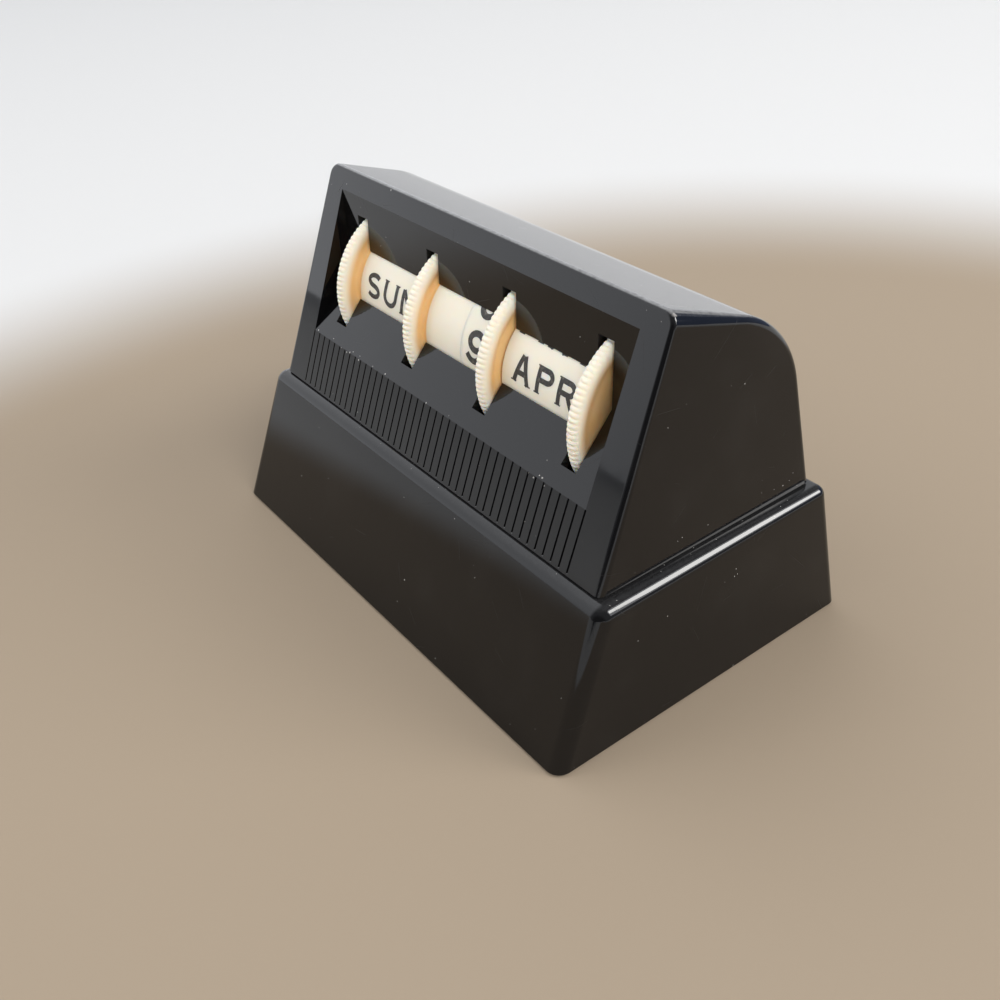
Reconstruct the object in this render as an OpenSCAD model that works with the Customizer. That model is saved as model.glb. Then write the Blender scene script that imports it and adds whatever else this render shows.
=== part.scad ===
// Perpetual desk calendar: four thumb wheels on one axle inside a wedge-shaped
// housing that stands on a broad plinth. Millimetres, +Z up, the display faces -Y,
// origin at the centre of the plinth's bottom edge, on the desk.

/* [Plinth] */
// Width of the plinth at its bottom edge
base_w = 90; // [88:1:100]
// Depth of the plinth at its bottom edge
base_d = 54.8; // [53:0.1:62]
// Height of the plinth, from its bottom edge to the seam
base_h = 22.1; // [20:0.1:28]
// Backward lean of the plinth's front
base_front_lean = 23; // [18:0.1:24]
// Inward lean of the plinth's sides
base_side_lean = 3; // [2:0.1:4]
// Forward lean of the plinth's back
base_back_lean = 9.6; // [5:0.1:10.5]
// Wall of the plinth
base_wall = 2; // [1.6:0.1:2.4]
// Thickness of the deck that closes the plinth's top
deck_t = 2; // [1.6:0.1:3]
// Radius of the plinth's edges
base_round = 1.6; // [1:0.1:1.8]
// Radius of the plinth's top front edge and of its upright front edges
base_nose = 2.2; // [1.4:0.1:3]

/* [Housing] */
// Height of the housing's front edge above the seam
housing_h = 34.1; // [34:0.1:40]
// Backward lean of the display face
face_lean = 22.6; // [21:0.1:24]
// Inward lean of the housing's sides
side_lean = 2.9; // [2:0.1:3.5]
// Slope of the top, down to the back
top_slope = 20.6; // [17:0.1:21.5]
// Forward lean of the housing's back
back_lean = 10.2; // [9:0.1:11.5]
// Radius of the big roll from the top to the back
back_roll = 16; // [8:0.5:17]
// Wall of the housing
housing_wall = 1.6; // [1.4:0.1:1.8]
// Radius of the housing's edges
edge_round = 1.1; // [0.8:0.1:1.4]
// Radius of the sharper edge above the display
brow_round = 0.6; // [0.5:0.1:1]
// Ledge of the plinth in front of the housing
ledge_front = 1.15; // [0.8:0.05:2]
// Ledge of the plinth beside the housing
ledge_side = 2.25; // [2:0.05:3]
// Ledge of the plinth behind the housing
ledge_back = 1.25; // [0.8:0.05:1.6]
// Height of the shadow line at the seam
seam_h = 0.35; // [0.2:0.05:0.6]
// Depth of the shadow line at the seam
seam_in = 0.5; // [0.3:0.1:0.8]

/* [Display] */
// Border of the face beside the recess
recess_side = 6.48; // [5:0.01:7]
// Height of the display recess along the face
recess_l = 23.7; // [23:0.1:26]
// Depth of the recess at its valley
recess_depth = 4.1; // [3.8:0.1:4.6]
// Lean of the recess's end walls
recess_end_lean = 4; // [1:0.5:8]
// Number of grooves in the ribbed panel below the recess
groove_count = 43; // [21:1:45]
// Width of one groove
groove_w = 0.55; // [0.3:0.05:0.8]
// Height of the plain strip below the grooves
groove_from = 0.5; // [0.5:0.1:3]

/* [Wheels] */
// How far the thumb rims stand out of the display face
rim_stand = 1.3; // [0.9:0.1:1.5]
// Clearance between the rims and the deck under them
rim_deck_gap = 1.6; // [1.4:0.02:2]
// Clearance between the rims and the housing's top wall
rim_top_gap = 0.56; // [0.5:0.02:1]
// Clearance between the rims and the housing's back wall
rim_back_gap = 0.92; // [0.8:0.02:1.2]
// Distance of the outer rims from the recess's ends
rim_inset = 5.85; // [5:0.05:6.2]
// Distance of the inner wheels' rims from the middle
inner_rim_x = 9.4; // [9:0.1:11]
// Place where the tens drum meets the units drum
split_x = 1.1; // [-1:0.1:4]
// Width of the thumb rims
rim_t = 2.3; // [2:0.1:2.5]
// Height of the rim's thick edge
rim_band = 1.9; // [1.5:0.1:2.2]
// Thickness of the web inside the rim
web_t = 1.2; // [1:0.1:1.6]
// Height of the rims above the day and month drums
word_drum_step = 3.45; // [3.4:0.05:3.8]
// Height of the rims above the tens and units drums
digit_drum_step = 3.05; // [2.9:0.05:3.3]
// Wall of the drums
drum_wall = 1.4; // [1:0.1:2]
// Radius of the wheels' hubs
hub_r = 3.2; // [2.6:0.1:4]
// Width of the slots for the rims
slot_w = 3; // [2.9:0.1:3.4]
// Space between a rim and the end of its slot
slot_clear = 0.75; // [0.4:0.05:0.8]
// Space between a drum and its window
window_clear = 0.2; // [0.15:0.05:0.3]

/* [Axle] */
// Diameter of the axle
axle_d = 3; // [2.5:0.1:4]
// Running clearance around the axle
axle_play = 0.05; // [0.02:0.01:0.08]
// End play between neighbours along the axle
end_play = 0.06; // [0.03:0.01:0.1]
// Thickness of the washers between the wheels
washer_t = 0.3; // [0.2:0.05:0.5]
// Length of the spacer tubes outside the wheels
spacer_l = 2; // [1.6:0.1:2.2]
// Thickness of the axle brackets
bracket_t = 2.2; // [1.8:0.1:2.4]
// Distance from a bracket's foot to its outer screw
bracket_lap = 1; // [0:0.1:2]
// Radius of the eye around the axle
bracket_eye = 4.2; // [3.6:0.1:5]
// Thickness of the retaining rings
ring_t = 0.6; // [0.4:0.1:0.8]
// Radius of the retaining rings
ring_r = 3; // [2.7:0.1:3.6]
// Length of axle beyond a retaining ring
axle_tip = 0.8; // [0.4:0.1:1]

/* [Drag spring] */
// Thickness of the spring sheet
spring_t = 0.4; // [0.3:0.05:0.5]
// Depth of the strip that holds the fingers
strip_d = 6; // [5:0.1:7]
// Distance of the strip behind the axle
strip_back = 7; // [6.5:0.1:8]
// Width of the fingers under the word drums
word_finger_w = 5; // [3:0.5:8]
// Width of the fingers under the digit drums
digit_finger_w = 3; // [2:0.5:4]
// Gap between a finger's tip and its drum
finger_gap = 0.2; // [0.15:0.05:0.3]

/* [Fasteners] */
// Radius of the screws' threads
screw_r = 0.95; // [0.8:0.05:1.1]
// Radius of the screws' heads
head_r = 2; // [1.7:0.1:2.2]
// Height of the screws' heads
head_h = 1.2; // [1:0.1:1.4]
// Clearance between a thread and its pilot hole
pilot_play = 0.05; // [0.03:0.01:0.08]
// Clearance of the screws in the deck and the plate
pass_play = 0.35; // [0.2:0.05:0.4]
// Depth of thread in every boss
screw_grip = 5; // [3:0.5:5.5]
// Radius of the housing's screw bosses
housing_boss_r = 2.9; // [2.5:0.1:3]
// Radius of the brackets' screw bosses
bracket_boss_r = 2.6; // [2.2:0.1:2.7]
// Gap along the wall between a front boss and the bracket's boss
front_boss_gap = 0.15; // [0.1:0.05:0.5]
// Gap along the wall between a back boss and the bracket's boss
back_boss_gap = 1.25; // [0.1:0.05:1.5]
// Radius of the plinth's screw bosses
plate_boss_r = 3.2; // [2.8:0.1:3.6]
// Distance of the plate screws from the plate's ends
plate_screw_inset = 16.6; // [14:0.1:20]
// Distance of the spring screws from the middle
spring_screw_x = 13; // [12:0.5:14]

/* [Bottom] */
// Thickness of the bottom plate
plate_t = 1.6; // [1.4:0.1:2.4]
// Gap around the bottom plate
plate_gap = 0.25; // [0.15:0.05:0.5]
// Thickness of the rubber feet
foot_t = 1.2; // [0.8:0.1:2]
// Radius of the rubber feet
foot_r = 4.5; // [3:0.1:5]
// How far the feet stand proud of the plinth
foot_proud = 0.4; // [0.3:0.1:0.6]
// Distance from a foot to the plate's edges
foot_inset = 1.2; // [0.5:0.1:3]

/* [Hidden] */
$fn = 96;
EPS = 0.01;
BLEND_FN = 32;
ROLL_STEPS = 10;
CAVITY_STEPS = 16;

// Colours of the real materials
BLACK = [0.06, 0.06, 0.07];
IVORY = [0.94, 0.91, 0.82];
STEEL = [0.72, 0.72, 0.74];
ZINC = [0.62, 0.62, 0.6];
RUBBER = [0.1, 0.1, 0.1];
FIBRE = [0.55, 0.2, 0.14];
MOULDED = [0.2, 0.2, 0.21];

// Outward normals in the side view, as [y, z]
function leaning_front(a) = [-cos(a), sin(a)];
function leaning_back(a) = [cos(a), sin(a)];
function dot(a, b) = a[0] * b[0] + a[1] * b[1];
// Point where two lines meet, each given by its normal and its distance
function meet(n1, d1, n2, d2) =
    let (det = n1[0] * n2[1] - n1[1] * n2[0])
    [(d1 * n2[1] - d2 * n1[1]) / det, (d2 * n1[0] - d1 * n2[0]) / det];

// Plinth: where its faces stand
base_z = foot_proud;
seam_z = base_z + base_h;
base_n_front = leaning_front(base_front_lean);
base_n_back = leaning_back(base_back_lean);
base_d_front = dot(base_n_front, [-base_d / 2, base_z]);
base_d_back = dot(base_n_back, [base_d / 2, base_z]);
function base_front_y(z) = -base_d / 2 + (z - base_z) * tan(base_front_lean);
function base_back_y(z) = base_d / 2 - (z - base_z) * tan(base_back_lean);
function base_half_w(z) = base_w / 2 - (z - base_z) * tan(base_side_lean);

// Housing: its footprint follows the plinth's top and the ledges
front_y = base_front_y(seam_z) + ledge_front;
back_y = base_back_y(seam_z) - ledge_back;
half_w = base_half_w(seam_z) - ledge_side;
brow = [front_y + housing_h * tan(face_lean), seam_z + housing_h];
n_face = leaning_front(face_lean);
n_top = [sin(top_slope), cos(top_slope)];
n_back = leaning_back(back_lean);
d_face = dot(n_face, brow);
d_top = dot(n_top, brow);
d_back = dot(n_back, [back_y, seam_z]);
roll_centre = meet(n_top, d_top - back_roll, n_back, d_back - back_roll);
function housing_front_y(z) = front_y + (z - seam_z) * tan(face_lean);
function housing_half_w(z) = half_w - (z - seam_z) * tan(side_lean);

// Rims: the largest circle that stands out of the face by rim_stand, runs over the
// deck, and clears the top wall and the back wall
n_down = [0, -1];
rim_d_face = d_face + rim_stand;
rim_d_down = -seam_z - rim_deck_gap;
function rim_that_clears(n, d) =
    rim_d_face - dot(n_face, meet(n_face - n_down, rim_d_face - rim_d_down, n - n_down, d - rim_d_down));
rim_r = min(rim_that_clears(n_top, d_top - housing_wall - rim_top_gap),
            rim_that_clears(n_back, d_back - housing_wall - rim_back_gap));
axle_at = meet(n_face, rim_d_face - rim_r, n_down, rim_d_down - rim_r);
axle_y = axle_at[0];
axle_z = axle_at[1];

// Display face: s runs up the face from the seam, off stands out of it
face_l = housing_h / cos(face_lean);
recess_w = 2 * (half_w - recess_side);
recess_mid = (axle_y - front_y) * sin(face_lean) + (axle_z - seam_z) * cos(face_lean);
recess_s0 = recess_mid - recess_l / 2;
recess_s1 = recess_mid + recess_l / 2;
recess_slope = recess_depth / (recess_l / 2);
groove_pitch = recess_w / (groove_count - 1);
function on_face(s, off) = [front_y + s * sin(face_lean) - off * cos(face_lean),
                            seam_z + s * cos(face_lean) + off * sin(face_lean)];

// Axle and wheels
outer_rim_x = recess_w / 2 - rim_inset;
word_drum_r = rim_r - word_drum_step;
digit_drum_r = rim_r - digit_drum_step;
axle_r = axle_d / 2;
bore_r = axle_r + axle_play;
joint_gap = washer_t + 2 * end_play;
outer_face_x = outer_rim_x + rim_t / 2;
inner_face_x = inner_rim_x + rim_t / 2;
bracket_x = outer_face_x + end_play + spacer_l + end_play;
ring_x = bracket_x + bracket_t + end_play;
axle_half = ring_x + ring_t + axle_tip;
word_drum_l = outer_rim_x - inner_face_x - joint_gap;
tens_drum_l = inner_rim_x + split_x - joint_gap / 2;
units_drum_l = inner_rim_x - split_x - joint_gap / 2;

// Drag spring fingers: middle, width and drum radius of each
spring_y = axle_y + strip_back;
day_finger_x = -(outer_rim_x + inner_rim_x) / 2;
tens_finger_x = (split_x - inner_rim_x) / 2;
units_finger_x = (split_x + inner_rim_x) / 2 - rim_t / 4;
fingers = [[day_finger_x, word_finger_w, word_drum_r],
           [tens_finger_x, digit_finger_w, digit_drum_r],
           [units_finger_x, digit_finger_w, digit_drum_r],
           [-day_finger_x, word_finger_w, word_drum_r]];
strip_half = -day_finger_x + word_finger_w;
finger_tip_r = 0.5;

// Screws
pilot_r = screw_r + pilot_play;
pass_r = screw_r + pass_play;
driver_slot = 0.5;
tip_room = 1;
pilot_depth = screw_grip + tip_room;
boss_cap = 0.6;
boss_h = pilot_depth + boss_cap;
boss_merge = 0.6;
plate_boss_gaps = [0.4, 1.6];
housing_boss_x = half_w - housing_wall - housing_boss_r + boss_merge;
housing_boss_y = [housing_front_y(seam_z + boss_h) + housing_wall + housing_boss_r - boss_merge,
                  back_y - boss_h * tan(back_lean) - housing_wall - housing_boss_r + boss_merge];
bracket_boss_x = bracket_x + bracket_t / 2;
bracket_boss_y = [housing_boss_y[0] + housing_boss_r + bracket_boss_r + front_boss_gap,
                  housing_boss_y[1] - housing_boss_r - bracket_boss_r - back_boss_gap];
spring_screw_y = spring_y + strip_d / 2;
deck_z = seam_z - deck_t;

// Bottom plate and feet
plate_z = foot_t;
plate_top = plate_z + plate_t;
plate_x = base_half_w(plate_top) - base_wall - plate_gap;
plate_y0 = base_front_y(plate_top) + base_wall / cos(base_front_lean) + plate_gap;
plate_y1 = base_back_y(plate_top) - base_wall / cos(base_back_lean) - plate_gap;
foot_x = plate_x - foot_inset - foot_r;
foot_y = [plate_y0 + foot_inset + foot_r, plate_y1 - foot_inset - foot_r];
plate_screw_x = plate_x - plate_screw_inset;
plate_screw_y = [base_front_y(deck_z) + base_wall + plate_boss_r + plate_boss_gaps[0],
                 base_back_y(deck_z) - base_wall - plate_boss_r - plate_boss_gaps[1]];

// Locating rim on the deck, inside the housing's walls
rim_gap = 0.25;
locator_h = 1.4;
locator_t = 1;
locator_x = housing_half_w(seam_z + locator_h) - housing_wall - rim_gap;
locator_y0 = housing_front_y(seam_z + locator_h) + housing_wall / cos(face_lean) + rim_gap;
locator_y1 = back_y - locator_h * tan(back_lean) - housing_wall / cos(back_lean) - rim_gap;

// Extrudes a side-view shape, drawn as [y, z], along X between two places
module along_x(x0, x1) {
    translate([x0, 0, 0]) rotate([90, 0, 90]) linear_extrude(x1 - x0) children();
}

// Lays a shape drawn on the display face: x across, y up the face, z outwards
module at_face() {
    translate([0, front_y, seam_z]) rotate([90 - face_lean, 0, 0]) children();
}

// A cylinder on the axle's line between two places
module on_axle(x0, x1, r) {
    translate([x0, axle_y, axle_z]) rotate([0, 90, 0]) cylinder(h = x1 - x0, r = r);
}

// A tube on the axle's line
module axle_tube(x0, x1, r_out, r_in) {
    difference() {
        on_axle(x0, x1, r_out);
        on_axle(x0 - 1, x1 + 1, r_in);
    }
}

// A ball at a point of the side view, as far out as the leaning sides allow
module side_balls(p, r, z0, w0, lean) {
    x = w0 - (p[1] - z0) * tan(lean) - r / cos(lean);
    for (side = [-1, 1])
        translate([side * x, p[0], p[1]]) sphere(r, $fn = BLEND_FN);
}

// A thin disc that starts a rounded upright edge at height z
module corner_disc(x, y, z, r) {
    for (side = [-1, 1])
        translate([side * x, y, z]) cylinder(h = EPS, r = r, $fn = BLEND_FN);
}

// A pan head screw: head up, thread down from z = 0
module screw(length) {
    difference() {
        union() {
            cylinder(h = head_h, r = head_r);
            translate([0, 0, -length]) cylinder(h = length + EPS, r = screw_r);
        }
        for (turn = [0, 90]) rotate(turn)
            translate([-head_r * 0.6, -driver_slot / 2, head_h / 2])
                cube([head_r * 1.2, driver_slot, head_h]);
    }
}

// The same at four places that mirror from left to right
module four(x, ys, z) {
    for (side = [-1, 1], y = ys) translate([side * x, y, z]) children();
}

// --- Housing ---
module housing_skin() {
    brow_ball = meet(n_face, d_face - brow_round, n_top, d_top - brow_round);
    z0 = seam_z + seam_h;
    hull() {
        corner_disc(housing_half_w(z0) - edge_round, housing_front_y(z0) + edge_round, z0, edge_round);
        corner_disc(housing_half_w(z0) - edge_round, back_y - seam_h * tan(back_lean) - edge_round,
                    z0, edge_round);
        side_balls(brow_ball, brow_round, seam_z, half_w, side_lean);
        for (a = [back_lean : (90 - top_slope - back_lean) / ROLL_STEPS : 90 - top_slope + EPS])
            side_balls(roll_centre + (back_roll - edge_round) * [cos(a), sin(a)],
                       edge_round, seam_z, half_w, side_lean);
    }
}

// The strip below the skin that leaves the shadow line
module housing_foot() {
    x = half_w - seam_in;
    translate([-x, front_y + seam_in, seam_z])
        cube([2 * x, back_y - front_y - 2 * seam_in, seam_h + seam_in]);
}

module housing_cavity() {
    w = housing_wall;
    arc = [for (a = [back_lean : (90 - top_slope - back_lean) / CAVITY_STEPS : 90 - top_slope + EPS])
           roll_centre + (back_roll - w) * [cos(a), sin(a)]];
    z0 = seam_z - 1;
    z1 = brow[1];
    side = concat([meet(n_face, d_face - w, [0, -1], -z0),
                   meet(n_back, d_back - w, [0, -1], -z0)],
                  arc,
                  [meet(n_face, d_face - w, n_top, d_top - w)]);
    x0 = housing_half_w(z0) - w / cos(side_lean);
    x1 = housing_half_w(z1) - w / cos(side_lean);
    intersection() {
        along_x(-half_w, half_w) polygon(side);
        translate([0, base_d, 0]) rotate([90, 0, 0]) linear_extrude(2 * base_d)
            polygon([[-x0, z0], [x0, z0], [x1, z1], [-x1, z1]]);
    }
}

// The shallow V of the display, as a side-view shape: deeper by extra, wider by over
module valley(extra, rise) {
    run = (recess_depth + extra + rise) / recess_slope;
    polygon([on_face(recess_mid - run, rise), on_face(recess_mid, -recess_depth - extra),
             on_face(recess_mid + run, rise)]);
}

module recess_backing() {
    x = recess_w / 2 + housing_wall;
    below = recess_depth + 2 * housing_wall;
    intersection() {
        along_x(-x, x) valley(housing_wall, 0);
        along_x(-x, x) polygon([on_face(recess_s0 - housing_wall, -housing_wall / 2),
                                on_face(recess_s0 - housing_wall, -below),
                                on_face(recess_s1 + housing_wall, -below),
                                on_face(recess_s1 + housing_wall, -housing_wall / 2)]);
    }
}

module recess_cut() {
    rise = 1;
    x_deep = recess_w / 2 - recess_depth * tan(recess_end_lean);
    x_out = recess_w / 2 + rise * tan(recess_end_lean);
    intersection() {
        along_x(-recess_w, recess_w) valley(0, rise);
        at_face() rotate([90, 0, 0]) translate([0, 0, -2 * face_l]) linear_extrude(3 * face_l)
            polygon([[-x_deep, -recess_depth], [x_deep, -recess_depth], [x_out, rise], [-x_out, rise]]);
    }
}

module wheel_openings() {
    for (x = [-outer_rim_x, -inner_rim_x, inner_rim_x, outer_rim_x])
        on_axle(x - slot_w / 2, x + slot_w / 2, rim_r + slot_clear);
    for (side = [-1, 1])
        on_axle(min(side * inner_rim_x, side * outer_rim_x),
                max(side * inner_rim_x, side * outer_rim_x), word_drum_r + window_clear);
    on_axle(-inner_rim_x, inner_rim_x, digit_drum_r + window_clear);
}

module rib_grooves() {
    for (i = [0 : groove_count - 1])
        at_face() translate([-recess_w / 2 + i * groove_pitch, groove_from, 0])
            rotate([0, 45, 0]) translate([-groove_w / 2, 0, -groove_w / 2])
                cube([groove_w, recess_s0 - groove_from + EPS, groove_w]);
}

module upper_housing() color(BLACK) {
    difference() {
        union() {
            difference() {
                union() {
                    housing_skin();
                    housing_foot();
                }
                housing_cavity();
            }
            recess_backing();
            four(housing_boss_x, housing_boss_y, seam_z) cylinder(h = boss_h, r = housing_boss_r);
        }
        recess_cut();
        wheel_openings();
        rib_grooves();
        four(housing_boss_x, housing_boss_y, seam_z - 1) cylinder(h = pilot_depth + 1, r = pilot_r);
    }
}

// --- Plinth ---
module base_skin() {
    nose = meet(base_n_front, base_d_front - base_nose, [0, 1], seam_z - base_nose);
    heel = meet(base_n_back, base_d_back - base_round, [0, 1], seam_z - base_round);
    hull() {
        corner_disc(base_w / 2 - base_nose, -base_d / 2 + base_nose, base_z, base_nose);
        corner_disc(base_w / 2 - base_round, base_d / 2 - base_round, base_z, base_round);
        side_balls(nose, base_nose, base_z, base_w / 2, base_side_lean);
        side_balls(heel, base_round, base_z, base_w / 2, base_side_lean);
    }
}

module base_cavity() {
    w = base_wall;
    z0 = base_z - 1;
    x0 = base_half_w(z0) - w / cos(base_side_lean);
    x1 = base_half_w(deck_z) - w / cos(base_side_lean);
    intersection() {
        along_x(-base_w, base_w) polygon([meet(base_n_front, base_d_front - w, [0, -1], -z0),
                                          meet(base_n_back, base_d_back - w, [0, -1], -z0),
                                          meet(base_n_back, base_d_back - w, [0, 1], deck_z),
                                          meet(base_n_front, base_d_front - w, [0, 1], deck_z)]);
        translate([0, base_d, 0]) rotate([90, 0, 0]) linear_extrude(2 * base_d)
            polygon([[-x0, z0], [x0, z0], [x1, deck_z], [-x1, deck_z]]);
    }
}

module locating_rim() {
    difference() {
        translate([-locator_x, locator_y0, seam_z - 0.5])
            cube([2 * locator_x, locator_y1 - locator_y0, locator_h + 0.5]);
        translate([-locator_x + locator_t, locator_y0 + locator_t, seam_z - 1])
            cube([2 * (locator_x - locator_t), locator_y1 - locator_y0 - 2 * locator_t, locator_h + 2]);
        four(housing_boss_x, housing_boss_y, seam_z - 1)
            cylinder(h = locator_h + 2, r = housing_boss_r + rim_gap);
    }
}

module base_plinth() color(BLACK) {
    spring_boss_h = screw_grip - deck_t + tip_room;
    difference() {
        union() {
            difference() {
                base_skin();
                base_cavity();
            }
            locating_rim();
            four(plate_screw_x, plate_screw_y, plate_top)
                cylinder(h = deck_z - plate_top + deck_t / 2, r = plate_boss_r);
            for (side = [-1, 1]) translate([side * spring_screw_x, spring_screw_y, deck_z - spring_boss_h])
                cylinder(h = spring_boss_h + deck_t / 2, r = bracket_boss_r);
        }
        four(plate_screw_x, plate_screw_y, plate_top - 1) cylinder(h = pilot_depth + 1, r = pilot_r);
        four(housing_boss_x, housing_boss_y, deck_z - 1) cylinder(h = deck_t + 2, r = pass_r);
        four(bracket_boss_x, bracket_boss_y, deck_z - 1) cylinder(h = deck_t + 2, r = pass_r);
        for (side = [-1, 1])
            translate([side * spring_screw_x, spring_screw_y, seam_z - screw_grip - tip_room / 2])
                cylinder(h = pilot_depth + 1, r = pilot_r);
    }
}

module bottom_plate() color(MOULDED) {
    difference() {
        translate([-plate_x, plate_y0, plate_z]) cube([2 * plate_x, plate_y1 - plate_y0, plate_t]);
        four(plate_screw_x, plate_screw_y, plate_z - 1) cylinder(h = plate_t + 2, r = pass_r);
    }
}

module rubber_feet() color(RUBBER) {
    four(foot_x, foot_y, 0) cylinder(h = foot_t, r = foot_r);
}

// --- Axle and what holds it ---
module axle_bracket(side) {
    x0 = min(side * bracket_x, side * (bracket_x + bracket_t));
    difference() {
        union() {
            along_x(x0, x0 + bracket_t)
                polygon([[bracket_boss_y[0] + bracket_lap, seam_z], [bracket_boss_y[1] - bracket_lap, seam_z],
                         [axle_y + bracket_eye, axle_z], [axle_y - bracket_eye, axle_z]]);
            on_axle(x0, x0 + bracket_t, bracket_eye);
            for (y = bracket_boss_y) translate([side * bracket_boss_x, y, seam_z])
                cylinder(h = boss_h, r = bracket_boss_r);
        }
        on_axle(x0 - 1, x0 + bracket_t + 1, bore_r);
        for (y = bracket_boss_y) translate([side * bracket_boss_x, y, seam_z - 1])
            cylinder(h = pilot_depth + 1, r = pilot_r);
    }
}

module left_axle_bracket() color(MOULDED) axle_bracket(-1);
module right_axle_bracket() color(MOULDED) axle_bracket(1);

module axle() color(STEEL) on_axle(-axle_half, axle_half, axle_r);

// A split ring pushed over the end of the axle
module retaining_ring(side) {
    x0 = min(side * ring_x, side * (ring_x + ring_t));
    difference() {
        axle_tube(x0, x0 + ring_t, ring_r, axle_r + axle_play);
        translate([x0 - 1, axle_y - axle_r / 2, axle_z - ring_r - 1])
            cube([ring_t + 2, axle_r, ring_r + 1]);
    }
}

module left_retaining_ring() color(STEEL) retaining_ring(-1);
module right_retaining_ring() color(STEEL) retaining_ring(1);

module spacer_tube(side) {
    x = outer_face_x + end_play;
    axle_tube(min(side * x, side * (x + spacer_l)), max(side * x, side * (x + spacer_l)),
              hub_r, bore_r);
}

module left_spacer_tube() color(IVORY) spacer_tube(-1);
module right_spacer_tube() color(IVORY) spacer_tube(1);

module wheel_washers() color(FIBRE) {
    for (x = [-inner_face_x - joint_gap / 2, split_x, inner_face_x + joint_gap / 2])
        axle_tube(x - washer_t / 2, x + washer_t / 2, hub_r, bore_r);
}

// --- Wheels ---
// Half section of a wheel: radius across, axle up, rim around zero, drum above
module wheel_section(drum_r, drum_l) {
    crown_r = rim_t / 2;
    band_r = rim_r - rim_band;
    // Rim with a round crown
    translate([rim_r - crown_r, 0]) circle(crown_r);
    translate([band_r, -rim_t / 2]) square([rim_band - crown_r, rim_t]);
    // Web, dished on both sides
    polygon([[band_r + EPS, -rim_t / 2], [band_r + EPS, rim_t / 2], [band_r - rim_band / 2, web_t / 2],
             [bore_r, web_t / 2], [bore_r, -web_t / 2], [band_r - rim_band / 2, -web_t / 2]]);
    // Drum
    translate([drum_r - drum_wall, -web_t / 2]) square([drum_wall, drum_l + web_t / 2]);
    // Hub
    translate([bore_r, -rim_t / 2]) square([hub_r - bore_r, drum_l + rim_t / 2]);
}

// A wheel with its rim at x and its drum towards side
module wheel(x, side, drum_r, drum_l) {
    translate([x, axle_y, axle_z]) rotate([0, side * 90, 0]) rotate_extrude()
        wheel_section(drum_r, drum_l);
}

module day_wheel() color(IVORY) wheel(-outer_rim_x, 1, word_drum_r, word_drum_l);
module tens_wheel() color(IVORY) wheel(-inner_rim_x, 1, digit_drum_r, tens_drum_l);
module units_wheel() color(IVORY) wheel(inner_rim_x, -1, digit_drum_r, units_drum_l);
module month_wheel() color(IVORY) wheel(outer_rim_x, -1, word_drum_r, word_drum_l);

// --- Drag spring: four fingers that keep the wheels where they are put ---
module finger(x, w, drum_r) {
    tip_z = axle_z - drum_r - finger_gap - finger_tip_r;
    root = [spring_y + spring_t, seam_z + spring_t / 2];
    rise = tip_z - root[1];
    run = root[0] - axle_y;
    l = norm([rise, run]);
    translate([x - w / 2, root[0], root[1]]) rotate([180 - atan2(rise, run), 0, 0])
        translate([0, 0, -spring_t / 2]) cube([w, l, spring_t]);
    translate([x - w / 2, axle_y, tip_z]) rotate([0, 90, 0]) cylinder(h = w, r = finger_tip_r);
}

module drag_spring() color(STEEL) {
    difference() {
        union() {
            translate([-strip_half, spring_y, seam_z]) cube([2 * strip_half, strip_d, spring_t]);
            for (f = fingers) finger(f[0], f[1], f[2]);
        }
        for (side = [-1, 1]) translate([side * spring_screw_x, spring_screw_y, seam_z - 1])
            cylinder(h = spring_t + 2, r = pass_r);
    }
}

// --- Screws ---
module spring_screws() color(ZINC) {
    for (side = [-1, 1]) translate([side * spring_screw_x, spring_screw_y, seam_z + spring_t])
        screw(screw_grip + spring_t - tip_room / 2);
}

module bracket_screws() color(ZINC) {
    four(bracket_boss_x, bracket_boss_y, deck_z) rotate([180, 0, 0]) screw(deck_t + screw_grip);
}

module housing_screws() color(ZINC) {
    four(housing_boss_x, housing_boss_y, deck_z) rotate([180, 0, 0]) screw(deck_t + screw_grip);
}

module plate_screws() color(ZINC) {
    four(plate_screw_x, plate_screw_y, plate_z) rotate([180, 0, 0]) screw(plate_t + screw_grip);
}

upper_housing();
base_plinth();
bottom_plate();
rubber_feet();
left_axle_bracket();
right_axle_bracket();
axle();
left_retaining_ring();
right_retaining_ring();
left_spacer_tube();
right_spacer_tube();
wheel_washers();
day_wheel();
tens_wheel();
units_wheel();
month_wheel();
drag_spring();
spring_screws();
bracket_screws();
housing_screws();
plate_screws();
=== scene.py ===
"""Looks of the perpetual desk calendar: a glossy black housing on a plinth, and four
ivory thumb wheels that carry the day, the date and the month."""
import math

import bmesh
import bpy
from mathutils import Matrix, Vector


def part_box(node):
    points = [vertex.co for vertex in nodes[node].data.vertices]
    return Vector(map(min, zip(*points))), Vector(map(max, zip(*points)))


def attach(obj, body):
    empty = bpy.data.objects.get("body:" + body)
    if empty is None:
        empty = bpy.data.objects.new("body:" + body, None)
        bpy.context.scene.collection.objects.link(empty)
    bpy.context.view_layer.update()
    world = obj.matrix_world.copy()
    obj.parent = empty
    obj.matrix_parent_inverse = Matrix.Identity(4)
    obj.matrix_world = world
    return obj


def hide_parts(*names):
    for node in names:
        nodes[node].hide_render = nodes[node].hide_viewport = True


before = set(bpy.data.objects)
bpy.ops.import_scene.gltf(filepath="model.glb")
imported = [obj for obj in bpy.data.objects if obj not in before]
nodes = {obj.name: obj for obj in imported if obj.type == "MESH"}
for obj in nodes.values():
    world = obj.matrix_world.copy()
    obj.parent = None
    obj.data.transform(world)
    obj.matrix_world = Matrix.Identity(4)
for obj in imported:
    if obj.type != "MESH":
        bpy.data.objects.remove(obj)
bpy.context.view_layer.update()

# --- Sizes of the real object, in millimetres and degrees ---
MM = 0.001
BASE_W, BASE_D, BASE_H = 90, 54.8, 22.1
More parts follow.
